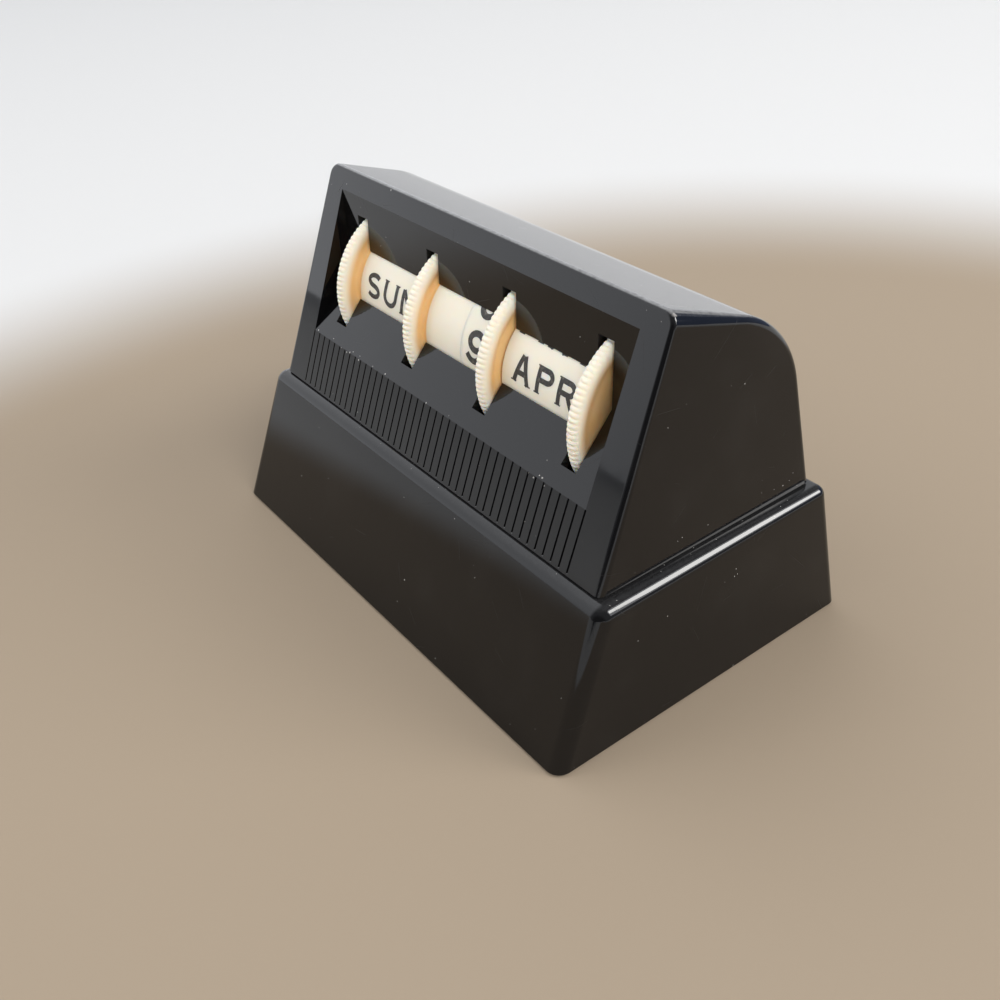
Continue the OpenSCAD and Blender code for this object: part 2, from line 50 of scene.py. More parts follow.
BASE_FRONT_LEAN, BASE_SIDE_LEAN, BASE_BACK_LEAN = 23, 3, 9.6
BASE_WALL, DECK_T = 2, 2
BASE_ROUND, BASE_NOSE = 1.6, 2.2
BASE_Z = 0.4

HOUSING_H = 34.1
FACE_LEAN, SIDE_LEAN, TOP_SLOPE, BACK_LEAN = 22.6, 2.9, 20.6, 10.2
BACK_ROLL, HOUSING_WALL = 16, 1.6
EDGE_ROUND, BROW_ROUND, BROW_CORNER = 1.1, 0.6, 1.4
LEDGE_FRONT, LEDGE_SIDE, LEDGE_BACK = 1.15, 2.25, 1.25
SEAM_H, SEAM_IN = 0.35, 0.5

RECESS_SIDE, RECESS_L, RECESS_DEPTH, RECESS_END_LEAN = 6.48, 23.7, 4.1, 4
# A groove's width is the one on the face; it starts above the seam and runs in over a short slope
GROOVE_COUNT, GROOVE_W, GROOVE_DEPTH = 43, 0.32, 0.42
GROOVE_FROM, GROOVE_RUN_IN = 0.5, 0.25

RIM_T, WEB_T = 2.3, 1.5
TOOTH_COUNT, TOOTH_DEPTH = 108, 0.15
WORD_STEP, DIGIT_STEP = 3.45, 3.05
DRUM_WALL, HUB_R, AXLE_PLAY = 1.4, 3.2, 0.05
SLOT_W, SLOT_CLEAR, WINDOW_CLEAR = 3, 0.75, 0.2
INNER_RIM_X, SPLIT_X, JOINT_GAP, HUB_GAP = 9.4, 1.1, 0.04, 0.42

BALL_STEPS, ROLL_STEPS, BROW_STEPS, PEG_STEPS, SLOT_STEPS = 56, 30, 6, 40, 180
# Angles above which an edge stays sharp, and one up to which two faces are one
HARD_CREASE, SOFT_CREASE, FLAT = 14, 40, 0.05
EPS = 0.01


def sin(angle):
    return math.sin(math.radians(angle))


def cos(angle):
    return math.cos(math.radians(angle))


def tan(angle):
    return math.tan(math.radians(angle))


def dot(a, b):
    return a[0] * b[0] + a[1] * b[1]


def meet(n1, d1, n2, d2):
    """Point where two lines of the side view meet, each given by its normal and distance."""
    det = n1[0] * n2[1] - n1[1] * n2[0]
    return ((d1 * n2[1] - d2 * n1[1]) / det, (d2 * n1[0] - d1 * n2[0]) / det)


# --- Places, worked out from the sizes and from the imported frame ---
SEAM_Z = BASE_Z + BASE_H
DECK_Z = SEAM_Z - DECK_T
N_DOWN, N_UP = (0, -1), (0, 1)
BASE_N_FRONT = (-cos(BASE_FRONT_LEAN), sin(BASE_FRONT_LEAN))
BASE_N_BACK = (cos(BASE_BACK_LEAN), sin(BASE_BACK_LEAN))
BASE_D_FRONT = dot(BASE_N_FRONT, (-BASE_D / 2, BASE_Z))
BASE_D_BACK = dot(BASE_N_BACK, (BASE_D / 2, BASE_Z))


def base_half_w(z):
    return BASE_W / 2 - (z - BASE_Z) * tan(BASE_SIDE_LEAN)


FRONT_Y = -BASE_D / 2 + BASE_H * tan(BASE_FRONT_LEAN) + LEDGE_FRONT
BACK_Y = BASE_D / 2 - BASE_H * tan(BASE_BACK_LEAN) - LEDGE_BACK
HALF_W = base_half_w(SEAM_Z) - LEDGE_SIDE
BROW = (FRONT_Y + HOUSING_H * tan(FACE_LEAN), SEAM_Z + HOUSING_H)
N_FACE = (-cos(FACE_LEAN), sin(FACE_LEAN))
N_TOP = (sin(TOP_SLOPE), cos(TOP_SLOPE))
N_BACK = (cos(BACK_LEAN), sin(BACK_LEAN))
D_FACE = dot(N_FACE, BROW)
D_TOP = dot(N_TOP, BROW)
D_BACK = dot(N_BACK, (BACK_Y, SEAM_Z))
ROLL_CENTRE = meet(N_TOP, D_TOP - BACK_ROLL, N_BACK, D_BACK - BACK_ROLL)


def housing_half_w(z):
    return HALF_W - (z - SEAM_Z) * tan(SIDE_LEAN)


def housing_front_y(z):
    return FRONT_Y + (z - SEAM_Z) * tan(FACE_LEAN)


# The axle and the wheels stand where the frame has them
axle_low, axle_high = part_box("axle")
AXLE_Y = (axle_low.y + axle_high.y) / 2 / MM
AXLE_Z = (axle_low.z + axle_high.z) / 2 / MM
BORE_R = (axle_high.z - axle_low.z) / 2 / MM + AXLE_PLAY
wheel_low, wheel_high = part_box("month_wheel")
RIM_R = (wheel_high.z - wheel_low.z) / 2 / MM
OUTER_RIM_X = wheel_high.x / MM - RIM_T / 2
RECESS_W = 2 * (HALF_W - RECESS_SIDE)
RECESS_MID = (AXLE_Y - FRONT_Y) * sin(FACE_LEAN) + (AXLE_Z - SEAM_Z) * cos(FACE_LEAN)
RECESS_S0 = RECESS_MID - RECESS_L / 2
RECESS_SLOPE = RECESS_DEPTH / (RECESS_L / 2)
WORD_DRUM_R = RIM_R - WORD_STEP
DIGIT_DRUM_R = RIM_R - DIGIT_STEP
WORD_L = OUTER_RIM_X - INNER_RIM_X - RIM_T / 2
TENS_L, UNITS_L = INNER_RIM_X + SPLIT_X, INNER_RIM_X - SPLIT_X


def on_face(s, off):
    """Point of the side view: s runs up the display face from the seam, off stands out of it."""
    return (FRONT_Y + s * sin(FACE_LEAN) - off * cos(FACE_LEAN),
            SEAM_Z + s * cos(FACE_LEAN) + off * sin(FACE_LEAN))


# --- Mesh builders: all take millimetres ---
def add_object(name, bm):
    """Makes an object of a bmesh in millimetres."""
    bmesh.ops.recalc_face_normals(bm, faces=bm.faces)
    bm.transform(Matrix.Scale(MM, 4))
    mesh = bpy.data.meshes.new(name)
    bm.to_mesh(mesh)
    bm.free()
    obj = bpy.data.objects.new(name, mesh)
    bpy.context.scene.collection.objects.link(obj)
    return obj


def ball(centre, radius):
    """Points on a sphere."""
    points = []
    for i in range(BALL_STEPS // 2 + 1):
        lat = -90 + 360 * i / BALL_STEPS
        for j in range(BALL_STEPS if 0 < i < BALL_STEPS // 2 else 1):
            lon = 360 * j / BALL_STEPS
            points.append((centre[0] + radius * cos(lat) * cos(lon),
                           centre[1] + radius * cos(lat) * sin(lon),
                           centre[2] + radius * sin(lat)))
    return points


def side_balls(place, radius, z0, w0, lean):
    """Two balls at a point of the side view, as far out as the leaning sides allow."""
    x = w0 - (place[1] - z0) * tan(lean) - radius / cos(lean)
    return ball((x, *place), radius) + ball((-x, *place), radius)


def corner_rings(x, y, z, radius):
    """Two flat rings that start rounded upright edges at height z."""
    ring = [(radius * cos(360 * i / BALL_STEPS), radius * sin(360 * i / BALL_STEPS))
            for i in range(BALL_STEPS)]
    return [(side * x + dx, y + dy, z) for side in (-1, 1) for dx, dy in ring]


def arc(centre, radius, start, end, steps):
    """Points along an arc of the side view."""
    return [(centre[0] + radius * cos(start + (end - start) * i / steps),
             centre[1] + radius * sin(start + (end - start) * i / steps)) for i in range(steps + 1)]


def hull(name, points):
    """Convex solid round the points, with its flat faces whole."""
    bm = bmesh.new()
    for point in points:
        bm.verts.new(point)
    found = bmesh.ops.convex_hull(bm, input=bm.verts)
    spare = {e for e in found["geom_interior"] + found["geom_unused"] if isinstance(e, bmesh.types.BMVert)}
    bmesh.ops.delete(bm, geom=list(spare), context="VERTS")
    bmesh.ops.dissolve_limit(bm, angle_limit=math.radians(FLAT), verts=bm.verts, edges=bm.edges)
    return add_object(name, bm)


def prism(name, outline, x0, x1):
    """A side-view outline carried along X between two places."""
    bm = bmesh.new()
    ends = [[bm.verts.new((x, y, z)) for y, z in outline] for x in (x0, x1)]
    bm.faces.new(ends[0])
    bm.faces.new(ends[1])
    for i in range(len(outline)):
        j = (i + 1) % len(outline)
        bm.faces.new((ends[0][i], ends[0][j], ends[1][j], ends[1][i]))
    return add_object(name, bm)


def lathe(name, profile, steps, shape=lambda angle, r: r):
    """Turns a closed profile of (place along X, radius) round the X axis."""
    bm = bmesh.new()
    rings = []
    for k in range(steps):
        angle = 360 * k / steps
        ring = []
        for u, r in profile:
            radius = shape(angle, r)
            ring.append(bm.verts.new((u, radius * cos(angle), radius * sin(angle))))
        rings.append(ring)
    for k in range(steps):
        here, there = rings[k], rings[(k + 1) % steps]
        for i in range(len(profile)):
            j = (i + 1) % len(profile)
            bm.faces.new((here[i], here[j], there[j], there[i]))
    return add_object(name, bm)


def cylinders(name, places, radius, z0, z1):
    """Upright round pegs at several places."""
    bm = bmesh.new()
    for x, y in places:
        bmesh.ops.create_cone(bm, cap_ends=True, segments=PEG_STEPS, radius1=radius, radius2=radius,
                              depth=z1 - z0, matrix=Matrix.Translation((x, y, (z0 + z1) / 2)))
    return add_object(name, bm)


def box(name, low, high):
    """A block between two corners."""
    bm = bmesh.new()
    bmesh.ops.create_cube(bm, size=1)
    for vert in bm.verts:
        vert.co = [low[i] if vert.co[i] < 0 else high[i] for i in range(3)]
    return add_object(name, bm)


def apply_modifiers(obj):
    """Turns the object's modifiers into its mesh."""
    graph = bpy.context.evaluated_depsgraph_get()
    mesh = bpy.data.meshes.new_from_object(obj.evaluated_get(graph))
    obj.modifiers.clear()
    obj.data = mesh


def combine(obj, *tools):
    """Adds or cuts tools, each given as an operation and an object."""
    for operation, tool in tools:
        step = obj.modifiers.new("combine", "BOOLEAN")
        step.operation = operation
        step.solver = "EXACT"
        step.object = tool
    apply_modifiers(obj)
    for _, tool in tools:
        bpy.data.objects.remove(tool)


def smooth(obj, angle):
    """Smooth shading with sharp edges above an angle; flat faces stay flat."""
    obj.data.shade_smooth()
    obj.data.set_sharp_from_angle(angle=math.radians(angle))
    step = obj.modifiers.new("normals", "WEIGHTED_NORMAL")
    step.keep_sharp = True
    step.weight = 90


# --- Housing ---
def four(x, ys):
    """The given places along Y, on the left and on the right."""
    return [(side * x, y) for side in (-1, 1) for y in ys]


PILOT_R, PILOT_DEPTH, PASS_R = 1.0, 6, 1.3
HOUSING_BOSS_R, BOSS_H, BOSS_MERGE = 2.9, 6.6, 0.6
HOUSING_BOSSES = four(HALF_W - HOUSING_WALL - HOUSING_BOSS_R + BOSS_MERGE,
                      (housing_front_y(SEAM_Z + BOSS_H) + HOUSING_WALL + HOUSING_BOSS_R - BOSS_MERGE,
                       BACK_Y - BOSS_H * tan(BACK_LEAN) - HOUSING_WALL - HOUSING_BOSS_R + BOSS_MERGE))


def housing_skin():
    """Outside of the housing: rounded edges, a brow with cut corners and the big roll at the back."""
    z0 = SEAM_Z + SEAM_H
    brow_ball = meet(N_FACE, D_FACE - BROW_ROUND, N_TOP, D_TOP - BROW_ROUND)
    points = corner_rings(housing_half_w(z0) - EDGE_ROUND, housing_front_y(z0) + EDGE_ROUND, z0, EDGE_ROUND)
    points += corner_rings(housing_half_w(z0) - EDGE_ROUND, BACK_Y - SEAM_H * tan(BACK_LEAN) - EDGE_ROUND, z0,
                           EDGE_ROUND)
    for i in range(BROW_STEPS + 1):
        drop = BROW_CORNER * (1 - sin(90 * i / BROW_STEPS))
        inward = BROW_CORNER * (1 - cos(90 * i / BROW_STEPS))
        place = (brow_ball[0] - drop * sin(FACE_LEAN), brow_ball[1] - drop * cos(FACE_LEAN))
        points += side_balls(place, BROW_ROUND, SEAM_Z, HALF_W - inward, SIDE_LEAN)
    for place in arc(ROLL_CENTRE, BACK_ROLL - EDGE_ROUND, BACK_LEAN, 90 - TOP_SLOPE, ROLL_STEPS):
        points += side_balls(place, EDGE_ROUND, SEAM_Z, HALF_W, SIDE_LEAN)
    return hull("housing_shell", points)


def housing_cavity():
    """Inside of the housing, one wall in from its outside."""
    w = HOUSING_WALL
    z0 = SEAM_Z - 1
    side = [meet(N_FACE, D_FACE - w, N_DOWN, -z0), meet(N_BACK, D_BACK - w, N_DOWN, -z0)]
    side += arc(ROLL_CENTRE, BACK_ROLL - w, BACK_LEAN, 90 - TOP_SLOPE, ROLL_STEPS)
    side += [meet(N_FACE, D_FACE - w, N_TOP, D_TOP - w)]
    points = []
    for y, z in side:
        x = housing_half_w(z) - w / cos(SIDE_LEAN)
        points += [(x, y, z), (-x, y, z)]
    return hull("cavity", points)


def valley(rise):
    """Side view of the shallow V of the display, carried on until it stands out of the face by rise."""
    run = (RECESS_DEPTH + rise) / RECESS_SLOPE
    return [on_face(RECESS_MID - run, rise), on_face(RECESS_MID, -RECESS_DEPTH),
            on_face(RECESS_MID + run, rise)]


def recess_backing():
    """The wall behind the V: it follows the V on both sides, one wall thick."""
    w = HOUSING_WALL
    x = RECESS_W / 2 + w
    top = (w / 2) / RECESS_SLOPE
    run = (RECESS_DEPTH + w) / RECESS_SLOPE
    return prism("backing", [on_face(RECESS_MID - run + top, -w / 2), on_face(RECESS_MID, -RECESS_DEPTH - w),
                             on_face(RECESS_MID + run - top, -w / 2)], -x, x)


def recess_cut():
    """The V with end walls that lean outwards a little."""
    rise = 1
    bm = bmesh.new()
    rings = []
    for side in (-1, 1):
        ring = []
        for off, place in zip((rise, -RECESS_DEPTH, rise), valley(rise)):
            x = RECESS_W / 2 + off * tan(RECESS_END_LEAN)
            ring.append(bm.verts.new((side * x, *place)))
        bm.faces.new(ring)
        rings.append(ring)
    for i in range(3):
        j = (i + 1) % 3
        bm.faces.new((rings[0][i], rings[0][j], rings[1][j], rings[1][i]))
    return add_object("recess", bm)


def wheel_openings():
    """One turned cutter: a slot for every rim and a window for every drum."""
    r_slot = RIM_R + SLOT_CLEAR
    r_word = WORD_DRUM_R + WINDOW_CLEAR
    r_digit = DIGIT_DRUM_R + WINDOW_CLEAR
    core = 0.2
    profile = []
    for x, r_in, r_out in ((-OUTER_RIM_X, core, r_word), (-INNER_RIM_X, r_word, r_digit),
                           (INNER_RIM_X, r_digit, r_word), (OUTER_RIM_X, r_word, core)):
        profile += [(x - SLOT_W / 2, r_in), (x - SLOT_W / 2, r_slot), (x + SLOT_W / 2, r_slot),
                    (x + SLOT_W / 2, r_out)]
    cutter = lathe("openings", profile, SLOT_STEPS)
    cutter.data.transform(Matrix.Translation((0, AXLE_Y * MM, AXLE_Z * MM)))
    return cutter


def groove_cutters():
    """The ribbed panel: V grooves with sloped lower ends."""
    bm = bmesh.new()
    pitch = RECESS_W / (GROOVE_COUNT - 1)
    for i in range(GROOVE_COUNT):
        x = -RECESS_W / 2 + i * pitch
        top = [bm.verts.new((x + dx, *on_face(s, off))) for dx, s, off in (
            (-GROOVE_W, GROOVE_FROM, GROOVE_DEPTH), (GROOVE_W, GROOVE_FROM, GROOVE_DEPTH),
            (GROOVE_W, RECESS_S0 + EPS, GROOVE_DEPTH), (-GROOVE_W, RECESS_S0 + EPS, GROOVE_DEPTH))]
        deep = [bm.verts.new((x, *on_face(s, -GROOVE_DEPTH)))
                for s in (GROOVE_FROM + GROOVE_RUN_IN, RECESS_S0 + EPS)]
        bm.faces.new(top)
        bm.faces.new((top[0], top[1], deep[0]))
        bm.faces.new((top[2], top[3], deep[1]))
        bm.faces.new((top[1], top[2], deep[1], deep[0]))
        bm.faces.new((top[3], top[0], deep[0], deep[1]))
    return add_object("grooves", bm)


def build_housing():
    """The upper housing, with its recess, slots, windows, grooves and screw bosses."""
    shell = housing_skin()
    foot = box("foot", (-HALF_W + SEAM_IN, FRONT_Y + SEAM_IN, SEAM_Z),
               (HALF_W - SEAM_IN, BACK_Y - SEAM_IN, SEAM_Z + SEAM_H + SEAM_IN))
    bosses = cylinders("bosses", HOUSING_BOSSES, HOUSING_BOSS_R, SEAM_Z, SEAM_Z + BOSS_H)
    pilots = cylinders("pilots", HOUSING_BOSSES, PILOT_R, SEAM_Z - 1, SEAM_Z + PILOT_DEPTH)
    combine(shell, ("UNION", foot), ("DIFFERENCE", housing_cavity()), ("UNION", recess_backing()),
            ("UNION", bosses), ("DIFFERENCE", recess_cut()), ("DIFFERENCE", wheel_openings()),
            ("DIFFERENCE", groove_cutters()), ("DIFFERENCE", pilots))
    smooth(shell, HARD_CREASE)
    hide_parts("upper_housing")
    return shell


# --- Plinth ---
def base_skin():
    """Outside of the plinth."""
    nose = meet(BASE_N_FRONT, BASE_D_FRONT - BASE_NOSE, N_UP, SEAM_Z - BASE_NOSE)
    heel = meet(BASE_N_BACK, BASE_D_BACK - BASE_ROUND, N_UP, SEAM_Z - BASE_ROUND)
    points = corner_rings(BASE_W / 2 - BASE_NOSE, -BASE_D / 2 + BASE_NOSE, BASE_Z, BASE_NOSE)
    points += corner_rings(BASE_W / 2 - BASE_ROUND, BASE_D / 2 - BASE_ROUND, BASE_Z, BASE_ROUND)
    points += side_balls(nose, BASE_NOSE, BASE_Z, BASE_W / 2, BASE_SIDE_LEAN)
    points += side_balls(heel, BASE_ROUND, BASE_Z, BASE_W / 2, BASE_SIDE_LEAN)
    return hull("plinth_shell", points)


def base_cavity():
    """Inside of the plinth, open at the bottom."""
    w = BASE_WALL
    points = []
    for z in (BASE_Z - 1, DECK_Z):
        n, d = (N_DOWN, -z)
        for y, _ in (meet(BASE_N_FRONT, BASE_D_FRONT - w, n, d), meet(BASE_N_BACK, BASE_D_BACK - w, n, d)):
            x = base_half_w(z) - w / cos(BASE_SIDE_LEAN)
            points += [(x, y, z), (-x, y, z)]
    return hull("cavity", points)


def build_plinth():
    """The plinth, with the low rim that holds the housing in place."""
    shell = base_skin()
    rim_gap, rim_h, rim_t = 0.25, 1.4, 1
    x = housing_half_w(SEAM_Z + rim_h) - HOUSING_WALL - rim_gap
    y0 = housing_front_y(SEAM_Z + rim_h) + HOUSING_WALL / cos(FACE_LEAN) + rim_gap
    y1 = BACK_Y - rim_h * tan(BACK_LEAN) - HOUSING_WALL / cos(BACK_LEAN) - rim_gap
    rim = box("rim", (-x, y0, SEAM_Z - 0.5), (x, y1, SEAM_Z + rim_h))
    rim_room = box("rim_room", (-x + rim_t, y0 + rim_t, SEAM_Z - 1), (x - rim_t, y1 - rim_t, SEAM_Z + 2))
    corners = cylinders("corners", HOUSING_BOSSES, HOUSING_BOSS_R + rim_gap, SEAM_Z - 1, SEAM_Z + 2)
    combine(rim, ("DIFFERENCE", rim_room), ("DIFFERENCE", corners))
    passes = cylinders("passes", HOUSING_BOSSES, PASS_R, DECK_Z - 1, SEAM_Z + 1)
    combine(shell, ("DIFFERENCE", base_cavity()), ("UNION", rim), ("DIFFERENCE", passes))
    smooth(shell, HARD_CREASE)
    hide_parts("base_plinth")
    return shell


# --- Wheels ---
TOOTH_SAMPLES = 8
NOTCH_POWER, FADE_GAIN, FADE_POWER = 2, 1.3, 1.5
CROWN_STEPS, DISH_STEPS, FILLET_STEPS = 14, 12, 5
FILLET, CROWN_FOOT = 0.5, 0.1


def wheel_profile(drum_r, drum_l, hub_l):
    """Closed half section: rim round zero, drum towards plus, its sides dished towards the web."""
    half, web = RIM_T / 2, WEB_T / 2
    crown_arc = [(-half * cos(180 * i / CROWN_STEPS), RIM_R - half + half * sin(180 * i / CROWN_STEPS))
                 for i in range(CROWN_STEPS + 1)]
    top, foot = RIM_R - half - CROWN_FOOT, drum_r + FILLET
    dish = [(half + (web - half) * (1 - cos(180 * i / DISH_STEPS)) / 2, top + (foot - top) * i / DISH_STEPS)
            for i in range(DISH_STEPS + 1)]
    fillet = [(web + FILLET * (1 - cos(90 * i / FILLET_STEPS)), foot - FILLET * sin(90 * i / FILLET_STEPS))
              for i in range(1, FILLET_STEPS + 1)]
    outside = [(-u, r) for u, r in reversed(dish)]
    return ([(-half, BORE_R), (-half, HUB_R), (-web, HUB_R)] + outside + crown_arc + dish + fillet
            + [(drum_l, drum_r), (drum_l, drum_r - DRUM_WALL), (web, drum_r - DRUM_WALL), (web, HUB_R),
               (hub_l, HUB_R), (hub_l, BORE_R)])


def toothed(angle, r):
    """Fine narrow notches across the crown that fade out towards the rim's sides."""
    reach = max(0.0, (r - RIM_R + RIM_T / 2) / (RIM_T / 2))
    wave = (0.5 - 0.5 * cos(angle * TOOTH_COUNT)) ** NOTCH_POWER
    return r - TOOTH_DEPTH * wave * min(1.0, FADE_GAIN * reach ** FADE_POWER)


def build_wheel(name, node, x, side, drum_r, length, gaps):
    """One wheel: side is the way its drum points, gaps its share of the gaps at the drum's open end."""
    profile = wheel_profile(drum_r, length - JOINT_GAP * gaps, length - HUB_GAP * gaps)
    wheel = lathe(name, profile, TOOTH_COUNT * TOOTH_SAMPLES, toothed)
    wheel.data.transform(Matrix.Diagonal((side, 1, 1, 1)))
    if side < 0:
        wheel.data.flip_normals()
    wheel.location = (x * MM, AXLE_Y * MM, AXLE_Z * MM)
    smooth(wheel, SOFT_CREASE)
    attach(wheel, node)
    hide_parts(node)
    return wheel


# --- Lettering on the drums: capitals with small feet, drawn stroke by stroke ---
INK_PROUD, INK_SUNK = 0.03, 0.06
CAP_H, CAP_STROKE = 3.95, 0.74
DIGIT_H, DIGIT_STROKE = 5.05, 0.95
LETTER_GAP = 1.1
FOOT_W, FOOT_T = 1.15, 0.2
BEND_STEP, TURN_STEP = 0.35, 12


def turn(x, y, rx, ry, start, end):
    """Points along an arc of an ellipse; a full turn ends where it began."""
    steps = max(4, round(abs(end - start) / TURN_STEP))
    angles = [start + (end - start) * i / steps for i in range(steps + 1)]
    points = [(x + rx * cos(angle), y + ry * sin(angle)) for angle in angles]
    return points[:-1] + points[:1] if abs(end - start) == 360 else points


def capitals():
    """Width, strokes and feet of every capital on the day and month drums."""
    h, lo, hi, mid = CAP_H, CAP_STROKE / 2, CAP_H - CAP_STROKE / 2, 1.98
    stem = ends = [(lo, 0), (lo, h)]

    def bowl(x, rx, low, high):
        return [(lo, high), *turn(x, (low + high) / 2, rx, (high - low) / 2, 90, -90), (lo, low)]

    ring = h / 2 - lo
    open_c = turn(2.05, h / 2, 1.74, ring, 42, 318)
    return {
        "A": (4.1, [[(0.62, 0), (1.82, h)], [(3.52, 0), (2.16, h)], [(0.95, 1.45), (3.15, 1.45)]],
              [(0.58, 0), (3.56, 0)]),
        "B": (3.5, [stem, bowl(2.0, 0.95, mid, hi), bowl(2.1, 1.05, lo, mid)], ends),
        "C": (3.9, [open_c], []),
        "D": (3.8, [stem, bowl(1.8, 1.7, lo, hi)], ends),
        "E": (3.2, [stem, [(lo, hi), (3.1, hi)], [(lo, mid), (2.7, mid)], [(lo, lo), (3.2, lo)]], ends),
        "F": (3.1, [stem, [(lo, hi), (3.1, hi)], [(lo, mid), (2.7, mid)]], ends),
        "G": (4.1, [open_c, [(2.3, 1.75), (3.9, 1.75)], [(3.45, 1.8), (3.45, 0.45)]], []),
        "H": (3.9, [stem, [(3.55, 0), (3.55, h)], [(lo, mid), (3.55, mid)]], ends + [(3.55, 0), (3.55, h)]),
        "I": (0.7, [stem], ends),
        "J": (2.5, [[(2.15, h), *turn(1.2, 1.2, 0.95, 0.89, 0, -165)]], [(2.15, h)]),
        "L": (3.1, [stem, [(lo, lo), (3.1, lo)]], ends),
        "M": (4.8, [stem, [(4.45, 0), (4.45, h)], [(0.45, h - 0.1), (2.4, 0.6)],
                    [(4.35, h - 0.1), (2.4, 0.6)]], [(lo, 0), (4.45, 0)]),
        "N": (3.9, [stem, [(3.55, 0), (3.55, h)], [(0.4, h - 0.1), (3.5, 0.1)]], [(lo, 0), (3.55, h)]),
        "O": (4.2, [turn(2.1, h / 2, 1.79, ring, 0, 360)], []),
        "P": (3.35, [stem, bowl(2.05, 1.0, 2.0, hi)], ends),
        "R": (3.6, [stem, bowl(2.1, 1.0, mid, hi), [(2.0, mid), (3.2, 0)]], ends + [(3.3, 0)]),
        "S": (3.65, [turn(1.8, 2.84, 1.45, 0.8, 35, 250) + turn(1.85, 1.14, 1.5, 0.83, 75, -148)], []),
        "T": (3.6, [[(1.8, 0), (1.8, h)], [(0.05, hi), (3.55, hi)]], [(1.8, 0)]),
        "U": (4.0, [[(0.45, h), *turn(2.0, 1.75, 1.55, 1.44, 180, 360), (3.55, h)]], [(0.45, h), (3.55, h)]),
        "V": (4.0, [[(0.5, h), (1.9, 0)], [(3.5, h), (2.1, 0)]], [(0.5, h), (3.5, h)]),
        "W": (5.4, [[(0.5, h), (1.6, 0)], [(2.7, h), (1.7, 0)], [(2.7, h), (3.7, 0)], [(4.9, h), (3.8, 0)]],
              [(0.5, h), (4.9, h)]),
        "Y": (4.0, [[(0.5, h), (2.0, 1.7)], [(3.5, h), (2.0, 1.7)], [(2.0, 0), (2.0, 1.95)]],
              [(0.5, h), (3.5, h), (2.0, 0)]),
    }


def digits():
    """Width, strokes and feet of the digits, whose round shapes are wide."""
    h, lo, hi = DIGIT_H, DIGIT_STROKE / 2, DIGIT_H - DIGIT_STROKE / 2
    nine = [turn(1.93, 3.38, 1.49, 1.225, 0, 360), turn(1.6, 2.75, 1.95, 2.31, 25, -140)]
    nine_w = 3.86
    six = [[(nine_w - x, h - y) for x, y in stroke] for stroke in nine]
    return {
        "0": (4.4, [turn(2.2, h / 2, 1.76, h / 2 - lo, 0, 360)], []),
        "1": (2.0, [[(1.4, 0), (1.4, h)], [(0.3, 3.75), (1.4, 4.6)]], []),
        "2": (3.9, [turn(1.85, 3.45, 1.4, hi - 3.45, 165, -38) + [(0.55, lo + 0.1)],
                    [(0.15, lo), (3.8, lo)]], []),
        "3": (3.7, [turn(1.6, 3.63, 1.3, hi - 3.63, 155, -85),
                    turn(1.6, 1.55, 1.5, 1.55 - lo, 85, -155)], []),
        "4": (4.1, [[(2.75, h), (0.35, 1.5)], [(0.1, 1.35), (4.0, 1.35)], [(2.85, 0), (2.85, h)]], []),
        "5": (3.8, [[(0.9, hi), (3.4, hi)], [(1.0, h), (0.8, 2.6)],
                    turn(1.75, 1.8, 1.6, 1.8 - lo, 140, -155)], []),
        "6": (nine_w, six, []),
        "7": (3.8, [[(0.1, hi), (3.7, hi)], [(3.35, hi), (1.4, 0)]], []),
        "8": (3.9, [turn(1.95, 3.68, 1.2, hi - 3.68, 0, 360), turn(1.95, 1.6, 1.5, 1.6 - lo, 0, 360)], []),
        "9": (nine_w, nine, []),
    }


def stroke_solid(points, weight):
    """A flat band along points, as a closed solid of 1 mm; a path that ends where it began is a ring."""
    ring = points[0] == points[-1]
    spine = [Vector(p) for p in (points[:-1] if ring else points)]
    count = len(spine)
    legs = [(spine[(i + 1) % count] - spine[i]).normalized() for i in range(count if ring else count - 1)]
    bm = bmesh.new()
    rings = []
    for i, place in enumerate(spine):
        after = legs[min(i, len(legs) - 1)]
        along = (legs[i - 1 if ring or i else 0] + after).normalized()
        out = Vector((-along.y, along.x)) * weight / 2 / along.dot(after)
        rings.append([bm.verts.new((*(place + out * side), z))
                      for side, z in ((1, -0.5), (1, 0.5), (-1, 0.5), (-1, -0.5))])
    for i in range(len(legs)):
        here, there = rings[i], rings[(i + 1) % count]
        for k in range(4):
            bm.faces.new((here[k], here[(k + 1) % 4], there[(k + 1) % 4], there[k]))
    if not ring:
        bm.faces.new(rings[0])
        bm.faces.new(rings[-1])
    return add_object("stroke", bm)


def glyph(strokes, feet, height, weight):
    """Mesh of one letter, its strokes joined and cut fine enough to bend, in millimetres."""
    parts = [stroke_solid(points, weight) for points in strokes]
    for x, y in feet:
        y = y + FOOT_T / 2 if y < height / 2 else y - FOOT_T / 2
        parts.append(stroke_solid([(x - FOOT_W / 2, y), (x + FOOT_W / 2, y)], FOOT_T))
    whole = parts[0]
    if len(parts) > 1:
        combine(whole, *(("UNION", part) for part in parts[1:]))
    bm = bmesh.new()
    bm.from_mesh(whole.data)
    bpy.data.objects.remove(whole)
    bm.transform(Matrix.Scale(1 / MM, 4))
    bmesh.ops.triangulate(bm, faces=bm.faces)
    steps = int(height / BEND_STEP)
    for i in range(1, steps):
        everything = bm.verts[:] + bm.edges[:] + bm.faces[:]
        bmesh.ops.bisect_plane(bm, geom=everything, plane_co=(0, i / steps * height, 0), plane_no=(0, 1, 0))
    mesh = bpy.data.meshes.new("glyph")
    bm.to_mesh(mesh)
    bm.free()
    return mesh


